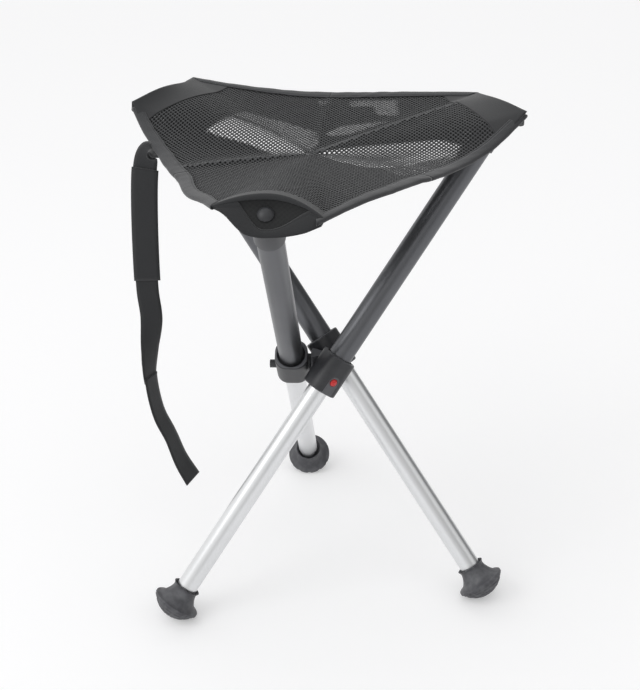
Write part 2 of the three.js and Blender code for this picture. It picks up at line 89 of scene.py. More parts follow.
def addNode(made, kind, settings=None, links=None):
    node = made.node_tree.nodes.new(kind)
    for key, value in (settings or {}).items():
        if hasattr(node, key):
            setattr(node, key, value)
        else:
            node.inputs[key].default_value = value
    for key, source in (links or {}).items():
        made.node_tree.links.new(source, node.inputs[key])
    return node


def feed(made, socket, source):
    made.node_tree.links.new(source, made.node_tree.nodes["Principled BSDF"].inputs[socket])


def mixedColour(made, factor, first, second):  # second shows where factor is 1
    ramp = addNode(made, "ShaderNodeValToRGB", links={"Fac": factor})
    ramp.color_ramp.elements[0].color = hexColour(first)
    ramp.color_ramp.elements[1].color = hexColour(second)
    return ramp


# Anodised aluminium tube: drawn, then bead blasted, so it has a satin grain and soft long highlights
def anodisedTube(name, colour, dull, roughness, metallic):
    made = newMaterial(name, colour, roughness, Metallic=metallic)
    place = addNode(made, "ShaderNodeTexCoord").outputs["Object"]
    grain = addNode(made, "ShaderNodeTexNoise", {"Scale": 1 / (0.6 * mm), "Detail": 3}, {"Vector": place})
    patch = addNode(made, "ShaderNodeTexNoise", {"Scale": 1 / (45 * mm), "Detail": 4}, {"Vector": place})
    feed(made, "Base Color", mixedColour(made, patch.outputs["Fac"], colour, dull).outputs["Color"])
    spread = addNode(made, "ShaderNodeMapRange", {"To Min": roughness - 0.05, "To Max": roughness + 0.08},
                     {"Value": grain.outputs["Fac"]})
    feed(made, "Roughness", spread.outputs["Result"])
    bump = addNode(made, "ShaderNodeBump", {"Strength": 0.08, "Distance": 0.02 * mm},
                   {"Height": grain.outputs["Fac"]})
    feed(made, "Normal", bump.outputs["Normal"])
    return made


# Glass-filled nylon, injection moulded with a fine spark-eroded texture and a faint random mottle; sharp edges and
# the places a vertex attribute picks are painted paler, as a painted highlight
def mouldedNylon(name, colour, mottleAndHighlight, roughness=0.42):
    made = newMaterial(name, colour, roughness)
    place = addNode(made, "ShaderNodeTexCoord").outputs["Object"]
    grain = addNode(made, "ShaderNodeTexNoise", {"Scale": 1 / (0.5 * mm), "Detail": 4}, {"Vector": place})
    cloud = addNode(made, "ShaderNodeTexNoise", {"Scale": 1 / (14 * mm), "Detail": 3}, {"Vector": place})
    edge = addNode(made, "ShaderNodeNewGeometry").outputs["Pointiness"]
    # painted highlight: sharp convex edges get the paler colour
    edgeHighlight = addNode(made, "ShaderNodeMapRange", {"From Min": 0.52, "From Max": 0.62}, {"Value": edge})
    mottleAndEdgeHighlight = addNode(made, "ShaderNodeMath", {"operation": "MULTIPLY_ADD", "use_clamp": True},
                     {0: cloud.outputs["Fac"], 2: edgeHighlight.outputs["Result"]})
    mottleAndEdgeHighlight.inputs[1].default_value = 0.3
    # painted highlight set per vertex by the collar, on its mouth rim and in its thumb scallop
    paintedHighlight = addNode(made, "ShaderNodeAttribute", {"attribute_name": "mottleAndHighlight"})
    paleness = addNode(made, "ShaderNodeMath", {"operation": "ADD", "use_clamp": True},
                       {0: mottleAndEdgeHighlight.outputs["Value"], 1: paintedHighlight.outputs["Fac"]})
    feed(made, "Base Color", mixedColour(made, paleness.outputs["Value"], colour, mottleAndHighlight).outputs["Color"])
    bump = addNode(made, "ShaderNodeBump", {"Strength": 0.25, "Distance": 0.06 * mm},
                   {"Height": grain.outputs["Fac"]})
    feed(made, "Normal", bump.outputs["Normal"])
    return made


# Glossy ABS, polished mould: a smooth surface with the faintest flow marks
def polishedAbs(name, colour, deep):
    made = newMaterial(name, colour, 0.14)
    place = addNode(made, "ShaderNodeTexCoord").outputs["Object"]
    flow = addNode(made, "ShaderNodeTexNoise", {"Scale": 1 / (3 * mm), "Detail": 2}, {"Vector": place})
    feed(made, "Base Color", mixedColour(made, flow.outputs["Fac"], deep, colour).outputs["Color"])
    return made


# Moulded rubber: matt and soft, with dust in the hollows
def mouldedRubber(name, colour, dusty):
    made = newMaterial(name, colour, 0.52)
    place = addNode(made, "ShaderNodeTexCoord").outputs["Object"]
    grain = addNode(made, "ShaderNodeTexNoise", {"Scale": 1 / (0.8 * mm), "Detail": 5}, {"Vector": place})
    dust = addNode(made, "ShaderNodeTexNoise", {"Scale": 1 / (9 * mm), "Detail": 5}, {"Vector": place})
    level = addNode(made, "ShaderNodeMapRange", {"From Min": 0.4, "From Max": 0.75},
                    {"Value": dust.outputs["Fac"]})
    feed(made, "Base Color", mixedColour(made, level.outputs["Result"], colour, dusty).outputs["Color"])
    bump = addNode(made, "ShaderNodeBump", {"Strength": 0.35, "Distance": 0.12 * mm},
                   {"Height": grain.outputs["Fac"]})
    feed(made, "Normal", bump.outputs["Normal"])
    return made


# Zinc-plated steel: bright, slightly streaked
def zincSteel(name, colour, dull):
    made = newMaterial(name, colour, 0.35, Metallic=1)
    place = addNode(made, "ShaderNodeTexCoord").outputs["Object"]
    streak = addNode(made, "ShaderNodeTexNoise", {"Scale": 1 / (2 * mm), "Detail": 4}, {"Vector": place})
    feed(made, "Base Color", mixedColour(made, streak.outputs["Fac"], dull, colour).outputs["Color"])
    return made


# Cloth woven from two sets of threads, drawn on the piece's own UV map, which is in metres
def wovenCloth(name, colour, gapColour, across, along, sheen, relief):
    made = newMaterial(name, colour, 0.85, Sheen_Weight=sheen)
    uv = addNode(made, "ShaderNodeUVMap", {"uv_map": "clothUv"}).outputs["UV"]
    split = addNode(made, "ShaderNodeSeparateXYZ", links={"Vector": uv})
    waves = []
    for axis, pitch in (("X", across), ("Y", along)):
        turn = addNode(made, "ShaderNodeMath", {"operation": "MULTIPLY"}, {0: split.outputs[axis]})
        turn.inputs[1].default_value = 2 * math.pi / (pitch * mm)
        waves.append(addNode(made, "ShaderNodeMath", {"operation": "SINE"}, {0: turn.outputs["Value"]}))
    weave = addNode(made, "ShaderNodeMath", {"operation": "MULTIPLY"},
                    {0: waves[0].outputs["Value"], 1: waves[1].outputs["Value"]})
    fuzz = addNode(made, "ShaderNodeTexNoise", {"Scale": 1 / (1.1 * mm), "Detail": 3}, {"Vector": uv})
    rough = addNode(made, "ShaderNodeMath", {"operation": "MULTIPLY_ADD"},
                    {0: weave.outputs["Value"], 2: fuzz.outputs["Fac"]})
    rough.inputs[1].default_value = 0.35
    feed(made, "Base Color", mixedColour(made, rough.outputs["Value"], gapColour, colour).outputs["Color"])
    bump = addNode(made, "ShaderNodeBump", {"Strength": relief, "Distance": 0.25 * mm},
                   {"Height": rough.outputs["Value"]})
    feed(made, "Normal", bump.outputs["Normal"])
    return made


# Knitted polyester net: thick dull yarn, lighter on top of each loop
def knittedNet(name, colour, loop):
    made = newMaterial(name, colour, 0.8, Sheen_Weight=0.25)
    place = addNode(made, "ShaderNodeTexCoord").outputs["Object"]
    yarn = addNode(made, "ShaderNodeTexNoise", {"Scale": 1 / (1.6 * mm), "Detail": 3}, {"Vector": place})
    feed(made, "Base Color", mixedColour(made, yarn.outputs["Fac"], colour, loop).outputs["Color"])
    bump = addNode(made, "ShaderNodeBump", {"Strength": 0.5, "Distance": 0.3 * mm},
                   {"Height": yarn.outputs["Fac"]})
    feed(made, "Normal", bump.outputs["Normal"])
    return made


finish = {
    "charcoal_tube": anodisedTube("charcoalAnodisedAluminium", "#6c6d70", "#5f6063", 0.33, 0.85),
    "silver_tube": anodisedTube("silverAnodisedAluminium", "#e6e7e8", "#dcddde", 0.3, 1),
    "dark_plastic": mouldedNylon("glassFilledNylon", "#232427", "#5e5f63"),
    "red_button": polishedAbs("polishedRedAbs", "#dc3434", "#cf2a2a"),
    "grey_rubber": mouldedRubber("mouldedGreyRubber", "#4b4b4f", "#66676a"),
    "pin_steel": zincSteel("zincPlatedSteel", "#b4b6b9", "#8f9194"),
    "seat_mesh": knittedNet("knittedPolyesterNet", "#262729", "#3e3f41"),
    "woven_binding": wovenCloth("wovenPolyesterTape", "#36373a", "#232426", 1.6, 1.6, 0.3, 0.5),
    "woven_patch": wovenCloth("wovenPolyesterCanvas", "#2f3032", "#1f2022", 1.4, 1.4, 0.25, 0.45),
    "strap_webbing": wovenCloth("wovenPolyesterWebbing", "#323335", "#202123", 2.2, 1.3, 0.25, 0.6),
}


def dress(piece, slotName, body, *nodes):
    piece.data.materials.clear()
    piece.data.materials.append(finish[slotName])
    if nodes:
        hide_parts(*nodes)
    if body:
        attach(piece, body)


for part in frame["record"]["subparts"]:
    node = frame["nodes"][part["node"]]
    node.data.materials.clear()
    node.data.materials.append(finish[part["material_slot"]])
print("materials made")


# Hard pieces

sharpAngle = math.radians(38)


def newPiece(name, bm, smooth=True):
    mesh = bpy.data.meshes.new(name)
    bmesh.ops.recalc_face_normals(bm, faces=bm.faces)
    bm.to_mesh(mesh)
    bm.free()
    piece = bpy.data.objects.new(name, mesh)
    bpy.context.scene.collection.objects.link(piece)
    if smooth:
        mesh.polygons.foreach_set("use_smooth", [True] * len(mesh.polygons))
        mesh.set_sharp_from_angle(angle=sharpAngle)
    return piece


def spunMesh(outline, steps, closed=False):  # outline in mm: radius, place along the leg
    bm = bmesh.new()
    points = [bm.verts.new((radius * mm, 0, place * mm)) for radius, place in outline]
    pairs = list(zip(points, points[1:])) + ([(points[-1], points[0])] if closed else [])
    edges = [bm.edges.new(pair) for pair in pairs]
    bmesh.ops.spin(bm, geom=points + edges, cent=(0, 0, 0), axis=(0, 0, 1), angle=2 * math.pi,
                   steps=steps, use_merge=True, use_duplicate=False)
    bmesh.ops.remove_doubles(bm, verts=bm.verts, dist=0.002 * mm)
    return bm


def putOn(bm, side):
    bmesh.ops.transform(bm, matrix=legFrame[side], verts=bm.verts)
    return bm


def arc(centre, radius, first, last, steps):  # points on an arc of an outline, angles in degrees
    turns = [math.radians(first + (last - first) * i / steps) for i in range(steps + 1)]
    return [(centre[0] + radius * math.cos(t), centre[1] + radius * math.sin(t)) for t in turns]


button = {"stem": 2.7, "tip": 13.1, "flange": 4.6, "flangeLow": 14.5, "flangeTop": 15.2, "radius": 4,
          "shoulder": 15.8, "top": 18.3, "place": -5, "steps": 48}


def atButton(bm, side):  # from the leg's axis to the button's, which points away from the hub
    bmesh.ops.rotate(bm, cent=(0, 0, 0), matrix=Matrix.Rotation(math.pi / 2, 3, "Y"), verts=bm.verts)
    bmesh.ops.translate(bm, vec=(0, 0, button["place"] * mm), verts=bm.verts)
    return putOn(bm, side)


# Cuts away what the outline fills round the button's axis. On hubCollar.front, whose faces point
# inwards, it adds the cutter instead: a known defect.
def drill(piece, side, outline):
    cutter = newPiece("cutter", atButton(spunMesh(outline, button["steps"]), side))
    hole = piece.modifiers.new("hole", "BOOLEAN")
    hole.operation = "DIFFERENCE"
    hole.solver = "EXACT"
    hole.object = cutter
    bpy.context.view_layer.update()
    cut = bpy.data.meshes.new_from_object(piece.evaluated_get(bpy.context.evaluated_depsgraph_get()))
    piece.modifiers.clear()
    piece.data = cut
    bpy.data.objects.remove(cutter)
    cut.polygons.foreach_set("use_smooth", [True] * len(cut.polygons))
    cut.set_sharp_from_angle(angle=sharpAngle)
    return piece


tubes = {"upperOuter": 12.5, "upperBore": 11.3, "upperTop": 311, "upperLow": -13.4, "lowerOuter": 11,
         "lowerBore": 10, "lowerTop": 66, "lowerEnd": -289.5, "edge": 0.35, "steps": 72,
         "buttonHole": ((0, 9), (3.1, 9), (3.1, 14), (0, 14))}


def tubeOutline(inner, outer, low, high, edge):
    return [(outer, low + edge), (outer, high - edge), (outer - edge, high), (inner + edge, high),
            (inner, high - edge), (inner, low + edge), (inner + edge, low), (outer - edge, low)]


def makeTubes(side):
    t = tubes
    upper = spunMesh(tubeOutline(t["upperBore"], t["upperOuter"], t["upperLow"], t["upperTop"], t["edge"]),
                     t["steps"], closed=True)
    lower = spunMesh(tubeOutline(t["lowerBore"], t["lowerOuter"], t["lowerEnd"], t["lowerTop"], t["edge"]),
                     t["steps"], closed=True)
    outer = drill(newPiece("outerTube." + side, putOn(upper, side)), side, t["buttonHole"])
    dress(outer, "charcoal_tube", "leg_" + side, "upper_tube_" + side)
    dress(newPiece("innerTube." + side, putOn(lower, side)), "silver_tube", "inner_" + side,
          "lower_tube_" + side)


cap = {"inner": 12.8, "outer": 14.3, "low": 277, "face": 311.3, "top": 314, "flange": 16.5,
       "flangeLow": 306, "hole": 3.3, "steps": 64}


def makeCap(side):
    c = cap
    flare = arc((c["flange"], c["flangeLow"] - 3), 2.2, 180, 100, 5)
    outline = [(c["outer"], c["low"] + 0.5), (c["outer"], c["flangeLow"] - 3), *flare,
               *arc((c["flange"] - 1.2, c["flangeLow"] + 1.2), 1.2, -60, 0, 3),
               *arc((c["flange"] - 1.5, c["top"] - 1.5), 1.5, 0, 90, 5),
               (c["hole"], c["top"]), (c["hole"], c["face"]), (c["inner"], c["face"]),
               (c["inner"], c["low"]), (c["outer"] - 0.5, c["low"])]
    bm = putOn(spunMesh(outline, c["steps"], closed=True), side)
    dress(newPiece("tubeCap." + side, bm), "dark_plastic", "leg_" + side, "end_cap_" + side)


rivet = {"under": 317.0, "head": 7.2, "rise": 3.6, "shank": 3, "low": 296, "rim": 0.7, "steps": 64}


def makeRivet(side):
    r = rivet
    dome = (r["head"] ** 2 + r["rise"] ** 2) / (2 * r["rise"])
    reaches = [r["head"] * math.cos(i * math.pi / 20) for i in range(11)]
    top = [(x, r["under"] + r["rim"] + r["rise"] - dome + math.sqrt(dome ** 2 - x ** 2)) for x in reaches]
    outline = [(0, r["low"]), (r["shank"], r["low"]), (r["shank"], r["under"]),
               (r["head"] - 0.3, r["under"]), (r["head"], r["under"] + 0.3), *top[:-1], (0, top[-1][1])]
    bm = putOn(spunMesh(outline, r["steps"]), side)
    dress(newPiece("cornerRivet." + side, bm), "dark_plastic", "leg_" + side, "seat_rivet_" + side)


def makeButton(side):
    b = button
    crown = [(b["radius"] * math.cos(t), b["shoulder"] + (b["top"] - b["shoulder"]) * math.sin(t))
             for t in [math.pi / 2 * i / 10 for i in range(10)]]
    outline = [(0, b["tip"]), (b["stem"], b["tip"]), (b["stem"], b["flangeLow"]),
               (b["flange"], b["flangeLow"]), (b["flange"], b["flangeTop"]), (b["radius"], b["flangeTop"]),
               *crown, (0, b["top"])]
    bm = atButton(spunMesh(outline, b["steps"]), side)
    dress(newPiece("releaseButton." + side, bm), "red_button", "button_" + side, "release_button_" + side)


# The collar's paleness values set a painted highlight: a paler mouth rim and a paler thumb scallop.
collar = {"halfLength": 20, "halfWidth": 17, "halfDepth": 16.5, "corner": 12.5, "edge": 1.3, "bore": 12.8,
          "mouth": 14.8, "mouthDepth": 3, "lip": 11.6, "lipLength": 2, "thumbFloor": (16.3, 15.3),
          "thumbHalf": 5.8, "thumbTop": 1.2, "thumbBlend": 0.7, "lugRadius": 9, "lugEnd": 19.5,
          "lugOverlap": 2, "lugBevel": 0.8, "rimHighlight": 0.85, "thumbHighlight": (1.6, 0.8),
          "buttonHole": ((0, 10), (5, 10), (5, 15.5), (4.3, 15.5), (4.3, 24), (0, 24)),
          "steps": 144, "rows": 56}


def roundedSquareRadius(turn, halfX, halfY, corner):  # distance from the middle to the outline
    x, y = abs(math.cos(turn)), abs(math.sin(turn))
    low, high = 0, 2 * (halfX + halfY)
    for _ in range(40):
        middle = (low + high) / 2
        overX, overY = middle * x - (halfX - corner), middle * y - (halfY - corner)
        outside = math.hypot(max(overX, 0), max(overY, 0)) > corner
        low, high = (low, middle) if outside else (middle, high)
    return low


def makeCollar(side):
    c = collar
    bm = bmesh.new()
    top, low = c["halfLength"], -c["halfLength"]
    turns = [2 * math.pi * (i + 0.5) / c["steps"] for i in range(c["steps"])]
    wall = [roundedSquareRadius(t, c["halfWidth"], c["halfDepth"], c["corner"]) for t in turns]
    edge = c["edge"]
    stations = [(low, edge), (low + 0.3 * edge, 0.3 * edge), (low + edge, 0)]
    stations += [(low + edge + (2 * (top - edge)) * i / c["rows"], 0) for i in range(1, c["rows"])]
    stations += [(top - edge, 0), (top - 0.3 * edge, 0.3 * edge), (top, edge)]
    loops = [[(radius - back, z) for radius in wall] for z, back in stations]
    mouthEnd, lipStart = top - c["mouthDepth"], low + c["lipLength"]
    for radius, z in ((c["mouth"], top), (c["mouth"], mouthEnd), (c["bore"], mouthEnd),
                      (c["bore"], lipStart), (c["lip"], lipStart), (c["lip"], low)):
        loops.append([(radius, z)] * c["steps"])
    rings = []
    mottleAndHighlight = bm.verts.layers.float.new("mottleAndHighlight")
    growth, most = c["thumbHighlight"]
    for loop in loops:
        ring = []
        for turn, (radius, z) in zip(turns, loop):
            scooped = 0
            x, y = radius * math.cos(turn), radius * math.sin(turn)
            if radius > c["mouth"] and x > 0:  # thumb scallop round the button, open at the lower rim
                above = max(z - c["thumbTop"] + c["thumbHalf"], 0)
                away = math.hypot(y, above) - c["thumbHalf"]
                inside = min(max(0.5 - away / c["thumbBlend"], 0), 1)
                high, deep = c["thumbFloor"]
                floor = high + (deep - high) * min(max((c["thumbTop"] - z) / (c["thumbTop"] - low), 0), 1)
                scooped = inside * min(max(x - floor, 0), 1)
                x -= inside * max(x - floor, 0)
            ring.append(bm.verts.new((x * mm, y * mm, z * mm)))
            # The top of the mouth rim and the thumb scallop get the paler colour through the vertex attribute:
            # painted highlight.
            onRim = radius >= c["mouth"] and z > top - 0.3 * edge
            ring[-1][mottleAndHighlight] = c["rimHighlight"] if onRim else min(scooped * growth, most)
        rings.append(ring)
    rings.append(rings[0])
    for first, second in zip(rings, rings[1:]):
        for i in range(c["steps"]):
            k = (i + 1) % c["steps"]
            bm.faces.new((first[i], first[k], second[k], second[i]))
    lug = bmesh.new()
    thick, length = c["lugRadius"] * mm, (c["lugEnd"] - c["halfWidth"] + c["lugOverlap"]) * mm
    bmesh.ops.create_cone(lug, cap_ends=True, segments=64, radius1=thick, radius2=thick, depth=length)
    bmesh.ops.bevel(lug, geom=[e for e in lug.edges if len(e.link_faces) == 2 and e.calc_face_angle() > 1],
                    affect="EDGES", offset=c["lugBevel"] * mm, segments=3, profile=0.5, material=-1)
    bmesh.ops.rotate(lug, cent=(0, 0, 0), matrix=Matrix.Rotation(math.pi / 2, 3, "Y"), verts=lug.verts)
    middle = -(c["lugEnd"] + c["halfWidth"] - c["lugOverlap"]) / 2
    bmesh.ops.translate(lug, vec=(middle * mm, 0, 0), verts=lug.verts)
    joined = bpy.data.meshes.new("lug")
    lug.to_mesh(joined)
    lug.free()
    bm.from_mesh(joined)
    bpy.data.meshes.remove(joined)
    body = drill(newPiece("hubCollar." + side, putOn(bm, side)), side, c["buttonHole"])
    dress(body, "dark_plastic", "leg_" + side, "hub_collar_" + side)


foot = {"rim": 25, "dome": 28.3, "domeEnd": 309, "rimThick": 1.8, "lip": 14.8, "neck": 13.3, "top": -273,
        "waist": -277, "flare": 0.72, "undercut": 1.1, "socket": 11.3, "socketLow": -291.6,
        "treadDepth": 0.9, "steps": 96}


def makeFoot(side):
    f = foot
    centre = f["domeEnd"] - f["dome"]
    rimPlace = -centre - math.sqrt(f["dome"] ** 2 - f["rim"] ** 2)
    rimAngle = math.asin((f["rim"] - f["undercut"]) / f["dome"])
    dome = []
    for i in range(0, 29):
        turn = rimAngle * i / 28
        tread = f["treadDepth"] if i in (6, 7, 12, 13, 18, 19, 24, 25) else 0
        reach = f["dome"] - tread
        dome.append((reach * math.sin(turn), -centre - reach * math.cos(turn)))
    bellTop = rimPlace + f["rimThick"]
    bell = []
    for i in range(0, 15):
        turn = math.pi / 2 * i / 14
        radius = f["neck"] + (f["rim"] - 0.5 - f["neck"]) * (1 - math.cos(turn)) ** f["flare"]
        bell.append((radius, f["waist"] + (bellTop - f["waist"]) * math.sin(turn)))
    lip = []
    for i in range(0, 9):
        share = i / 8
        radius = f["neck"] + (f["lip"] - f["neck"]) * share ** 2
        lip.append((radius, f["waist"] + (f["top"] - f["waist"]) * share))
    step = dome[-1][1] + 0.5  # a step parts the tread from the rim
    outline = [(0, -f["domeEnd"]), *dome[1:], (dome[-1][0] - 0.5, step), (f["rim"] - 0.2, step),
               (f["rim"], step + 0.3), (f["rim"], bellTop - 0.4), *reversed(bell), *lip[1:],
               (f["lip"] - 0.7, f["top"] + 0.2), (f["socket"] + 1.1, f["top"] - 2.5),
               (f["socket"], f["top"] - 5), (f["socket"], f["socketLow"]), (0, f["socketLow"])]
    bm = spunMesh(outline, f["steps"])
    lugs = []
    for face in bm.faces:  # radial cuts leave separate tread blocks round the dome
        middle = face.calc_center_median() / mm
        radius = math.hypot(middle.x, middle.y)
        onDome = middle.z < rimPlace - 0.2 and radius > 8
        sector = math.degrees(math.atan2(middle.y, middle.x)) % 30
        if onDome and sector < 4:
            lugs.append(face)
    cut = set(v for face in lugs for v in face.verts)
    for vertex in cut:
        away = vertex.co - Vector((0, 0, -centre * mm))
        over = away.length - (f["dome"] - f["treadDepth"]) * mm
        vertex.co -= away.normalized() * min(f["treadDepth"] * mm, max(over, 0))
    putOn(bm, side)
    floorCut = bmesh.ops.bisect_plane(bm, geom=bm.verts[:] + bm.edges[:] + bm.faces[:], plane_co=(0, 0, 0),
                                      plane_no=(0, 0, -1), clear_outer=True, dist=0.001 * mm)
    rim = [e for e in floorCut["geom_cut"] if isinstance(e, bmesh.types.BMEdge)]
    bmesh.ops.contextual_create(bm, geom=rim)
    dress(newPiece("rubberFoot." + side, bm), "grey_rubber", "inner_" + side, "foot_" + side)


for side in sides:
    makeTubes(side)
    makeCap(side)
    makeRivet(side)
    makeButton(side)
    makeCollar(side)
    makeFoot(side)
print("hard pieces made")


# Seat

seat = {"cornerHalf": 47, "cornerRise": 16, "ridgePlace": 321.5, "hollow": 227.96, "hemHollow": 5,
        "wings": {"front": ((0.98, 0.22, -0.05), (1.06, 0.47, -0.07)),
                  "right": ((1.06, 0.11, 0.01), (1, 0.27, 0.03)),
                  "left": ((1, 0.24, 0.11), (1.14, 0.3, 0.01))},
        "hems": {"front": (21, 2), "right": (7.4, 1.43), "left": (24.6, 0.78)},
        "knees": {"left": ((0.74, 0.2, 6),), "front": ((0.3, 0.12, 1.5), (0.52, 0.1, 1.5))},
        "cornerSteps": 24, "hemSteps": 60, "fairness": 16, "fairUpTo": 0.45, "fairFade": 0.5,
        "creases": ((31, 0.9, 3.0, 2.6), (85.5, 0.97, 2.2, 0), (195.5, 0.97, 2.8, 1.7), (329, 0.97, 1.6, 0)),
        "creaseWidth": (18, 9), "blendStart": 74, "blendEnd": 150}


def ridgePoint(side, share):  # a corner's ridge on the leg's own axes, in mm
    s = seat
    spread, drop, reach = s["wings"][side][0 if share > 0 else 1]
    return Vector((s["cornerHalf"] * spread * share, s["cornerHalf"] * drop * share ** 2 - s["cornerRise"],
                   s["ridgePlace"] + s["cornerHalf"] * reach * share ** 2))


def cornerPoint(side, share):
    return legFrame[side] @ (ridgePoint(side, share) * mm)


def levelAway(point):
    return Vector((point.x - hubCentre.x, point.y - hubCentre.y, 0)).normalized()


def hemPoint(side, share):  # the hem that runs counterclockwise from a corner to the next
    droop, lean = seat["hems"][side]
    following = sides[(sides.index(side) + 1) % 3]
    start, end = cornerPoint(side, -1), cornerPoint(following, 1)
    point = start + (end - start) * share
    bulge = math.sin(math.pi * min(max(share, 0), 1) ** lean)
    out = -seat["hemHollow"] * bulge
    for place, half, push in seat["knees"].get(side, ()):
        out += push * math.cos(math.pi / 2 * min(abs(share - place) / half, 1)) ** 2
    return point + levelAway(point) * out * mm - Vector((0, 0, droop * mm * bulge))


seatHollow = hubCentre + Vector((0, 0, seat["hollow"] * mm))


def seatEdge():
    edge = []
    for side in sides:
        edge += [cornerPoint(side, 1 - 2 * i / seat["cornerSteps"]) for i in range(seat["cornerSteps"])]
        edge += [hemPoint(side, i / seat["hemSteps"]) for i in range(seat["hemSteps"])]
    return edge


def azimuthOf(x, y):
    return math.degrees(math.atan2(y - hubCentre.y, x - hubCentre.x)) % 360


edgePoints = sorted(seatEdge(), key=lambda p: azimuthOf(p.x, p.y))
edgeTurns = [azimuthOf(p.x, p.y) for p in edgePoints]


def edgeAt(turn):
    k = bisect.bisect(edgeTurns, turn) % len(edgeTurns)
    a, b = edgePoints[k - 1], edgePoints[k]
    span = (edgeTurns[k] - edgeTurns[k - 1]) % 360
    return a.lerp(b, ((turn - edgeTurns[k - 1]) % 360) / span)


def slopeAt(turn):
    edge = edgeAt(turn % 360)
    return (edge.z - seatHollow.z) / math.hypot(edge.x - hubCentre.x, edge.y - hubCentre.y)


exactSlopes = [slopeAt(turn) for turn in range(360)]
fairSlopes = []  # the same, evened out over some degrees to both sides
for turn in range(360):
    near = range(-seat["fairness"], seat["fairness"] + 1)
    weights = [math.cos(math.pi / 2 * k / (seat["fairness"] + 1)) for k in near]
    fairSlopes.append(sum(w * exactSlopes[(turn + k) % 360] for w, k in zip(weights, near)) / sum(weights))


def smoothShare(value):
    value = min(max(value, 0), 1)
    return value * value * (3 - 2 * value)


def seatSpot(x, y):  # share of the way to the edge, and the height there
    turn = azimuthOf(x, y)
    edge = edgeAt(turn)
    reach = math.hypot(edge.x - hubCentre.x, edge.y - hubCentre.y)
    away = math.hypot(x - hubCentre.x, y - hubCentre.y)
    share = away / reach
    low, part = int(turn), turn - int(turn)
    fair = fairSlopes[low] * (1 - part) + fairSlopes[(low + 1) % 360] * part
    exact = (edge.z - seatHollow.z) / reach
    nearEdge = smoothShare((share - seat["fairUpTo"]) / seat["fairFade"])
    height = seatHollow.z + away * (fair + (exact - fair) * nearEdge)
    for middle, end, rise, _ in seat["creases"]:
        off = math.radians(turn - middle)
        if math.cos(off) > 0 and share < end:
            gentle, steep = seat["creaseWidth"]
            side = abs(away * math.sin(off)) / ((steep if off > 0 else gentle) * mm)
            height += rise * mm * max(1 - side, 0) ** 1.5 * math.sin(math.pi * share / end) ** 0.5
    return share, height


def legDirection(side):  # the middle of the sector of cloth that goes with a leg
    return Matrix.Rotation(math.radians(-60), 3, "Z") @ levelAway(hemPoint(side, 0.5))


legDirections = {side: legDirection(side) for side in sides}


def blendSeat(piece):
    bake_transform(piece)


def nearestLeg(point):
    away = Vector((point.x - hubCentre.x, point.y - hubCentre.y, 0))
    return max(sides, key=lambda side: away.dot(legDirections[side]))


# The mesh is two nets, one below the other. The lower one has small holes, and wide ones only
# where the photographed seat lets the light through. Places are in mm from the hub's middle.
net = {"pitch": (4.7, 5.3), "round": 0.66, "edge": 0.975,
       "upper": {"hole": (0.6, 0.7), "place": 0.5, "thick": 0.7},
       "lower": {"hole": (0.14, 0.14), "place": -0.6, "thick": 0.2, "open": 0.97, "soft": (-3, 4),
                 "gone": 0.9},
       "clear": ((1, ((-110, 41), (-88, 72), (-56, 56), (-20, 28), (-4, 3), (-27, -8), (-65, 18), (-98, 33))),
                 (0.86, ((-89, 75), (-76, 91), (-32, 74), (4, 49), (6, 20), (-3, 4), (-56, 56))),
                 (1, ((5, -1), (31, -4), (56, -22), (85, -14), (114, -3), (136, -8), (136, -15), (104, -30),
                         (76, -51), (51, -46), (28, -28))),
                 (0.81, ((5, 3), (46, 9), (123, 10), (144, 0), (140, -20), (113, -67), (85, -74), (66, -52))),
                 (0.86, ((30, 123), (82, 116), (85, 87), (84, 73), (58, 81), (55, 100), (30, 103))),
                 (0.88, ((7, 44), (24, 62), (60, 67), (80, 69), (64, 57), (35, 38), (13, 37))),
                 (0.84, ((-6, 131), (11, 125), (12, 110), (-1, 106))))}


def depthInside(outline, x, y):  # mm inside the outline, negative outside
    inside, nearest = False, math.inf
    for (ax, ay), (bx, by) in zip(outline, outline[1:] + outline[:1]):
        if (ay > y) != (by > y) and x < ax + (y - ay) * (bx - ax) / (by - ay):
            inside = not inside
        along = ((x - ax) * (bx - ax) + (y - ay) * (by - ay)) / ((bx - ax) ** 2 + (by - ay) ** 2)
        along = min(max(along, 0), 1)
        nearest = min(nearest, math.hypot(x - ax - along * (bx - ax), y - ay - along * (by - ay)))
    return nearest if inside else -nearest


def lowerHole(x, y):  # share of a mesh that its hole takes in the lower net, None where there is no net
    layer = net["lower"]
    first, last = layer["soft"]
    grown = max(strength * smoothShare((depthInside(outline, x, y) - first) / (last - first))
                for strength, outline in net["clear"])
    if grown > layer["gone"]:
        return None
    return [hole + (layer["open"] - hole) * grown for hole in layer["hole"]]


def onCrease(x, y):  # the yarn of the upper net lies close together along a crease
    turn, away = math.degrees(math.atan2(y, x)), math.hypot(x, y)
    for middle, end, _, closed in seat["creases"]:
        off = math.radians(turn - middle)
        if math.cos(off) > 0 and abs(away * math.sin(off)) < closed:
            return seatSpot(hubCentre.x + x * mm, hubCentre.y + y * mm)[0] < end
    return False


ringSteps = ((2, 0), (1, 1), (0, 2), (-1, 1), (-2, 0), (-1, -1), (0, -2), (1, -1))


